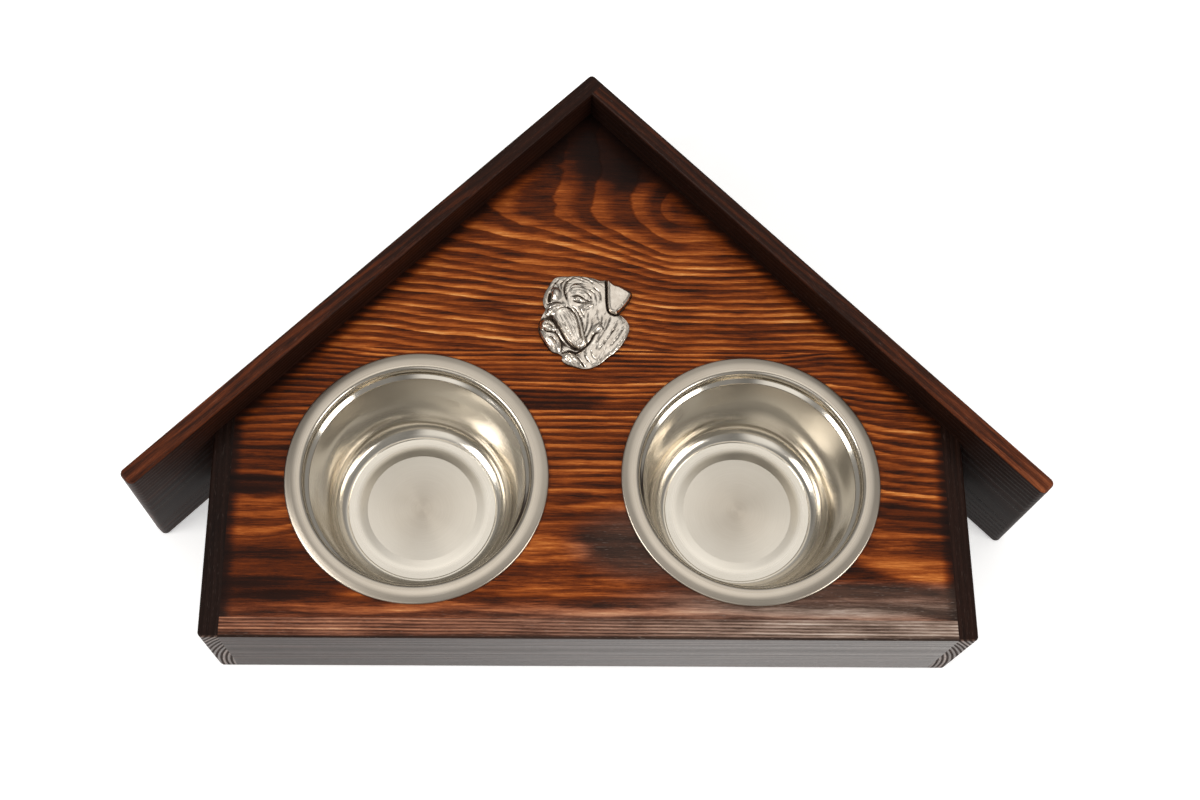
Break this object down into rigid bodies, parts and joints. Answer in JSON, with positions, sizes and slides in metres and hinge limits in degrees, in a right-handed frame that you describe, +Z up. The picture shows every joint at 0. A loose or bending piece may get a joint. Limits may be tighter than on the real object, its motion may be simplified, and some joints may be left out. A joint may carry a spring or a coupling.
{
  "type": "dog bowl stand",
  "caption": "Low house-shaped wooden stand whose inset top panel holds round steel feeding bowls by their flanges, with a cast dog head emblem.",
  "frame": {"origin": "middle of the footprint box, on the surface that the stand rests on", "axes": "+X to the right along the front, +Y from the front to the ridge, +Z up"},
  "size_m": [0.555, 0.3692, 0.1065],
  "materials": {
    "frame_pine": "dark stained brushed pine under satin lacquer",
    "panel_pine": "flamed pine with dark late wood under satin lacquer",
    "dowel_beech": "bare turned beech",
    "bowl_steel": "polished inside, satin flange",
    "emblem_pewter": null,
    "pad_rubber": "matt"
  },
  "bodies": {
    "stand": {"left_roof_board": "frame_pine", "right_roof_board": "frame_pine", "left_side_board": "frame_pine", "right_side_board": "frame_pine", "front_board": "frame_pine", "panel_front_plank": "panel_pine", "panel_rear_plank": "panel_pine", "front_panel_dowels": "dowel_beech", "left_side_panel_dowels": "dowel_beech", "right_side_panel_dowels": "dowel_beech", "left_roof_panel_dowels": "dowel_beech", "right_roof_panel_dowels": "dowel_beech", "left_corner_dowels": "dowel_beech", "right_corner_dowels": "dowel_beech", "ridge_dowels": "dowel_beech", "dog_head_emblem": "emblem_pewter", "anti_slip_pads": "pad_rubber"},
    "left_bowl": {"left_bowl": "bowl_steel"},
    "right_bowl": {"right_bowl": "bowl_steel"}
  },
  "joints": [
    {"name": "left_bowl_lift", "type": "slide", "parent": "stand", "child": "left_bowl", "axis": [0, 0, 1], "range_m": [0, 0.1]},
    {"name": "right_bowl_lift", "type": "slide", "parent": "stand", "child": "right_bowl", "axis": [0, 0, 1], "range_m": [0, 0.1]}
  ]
}
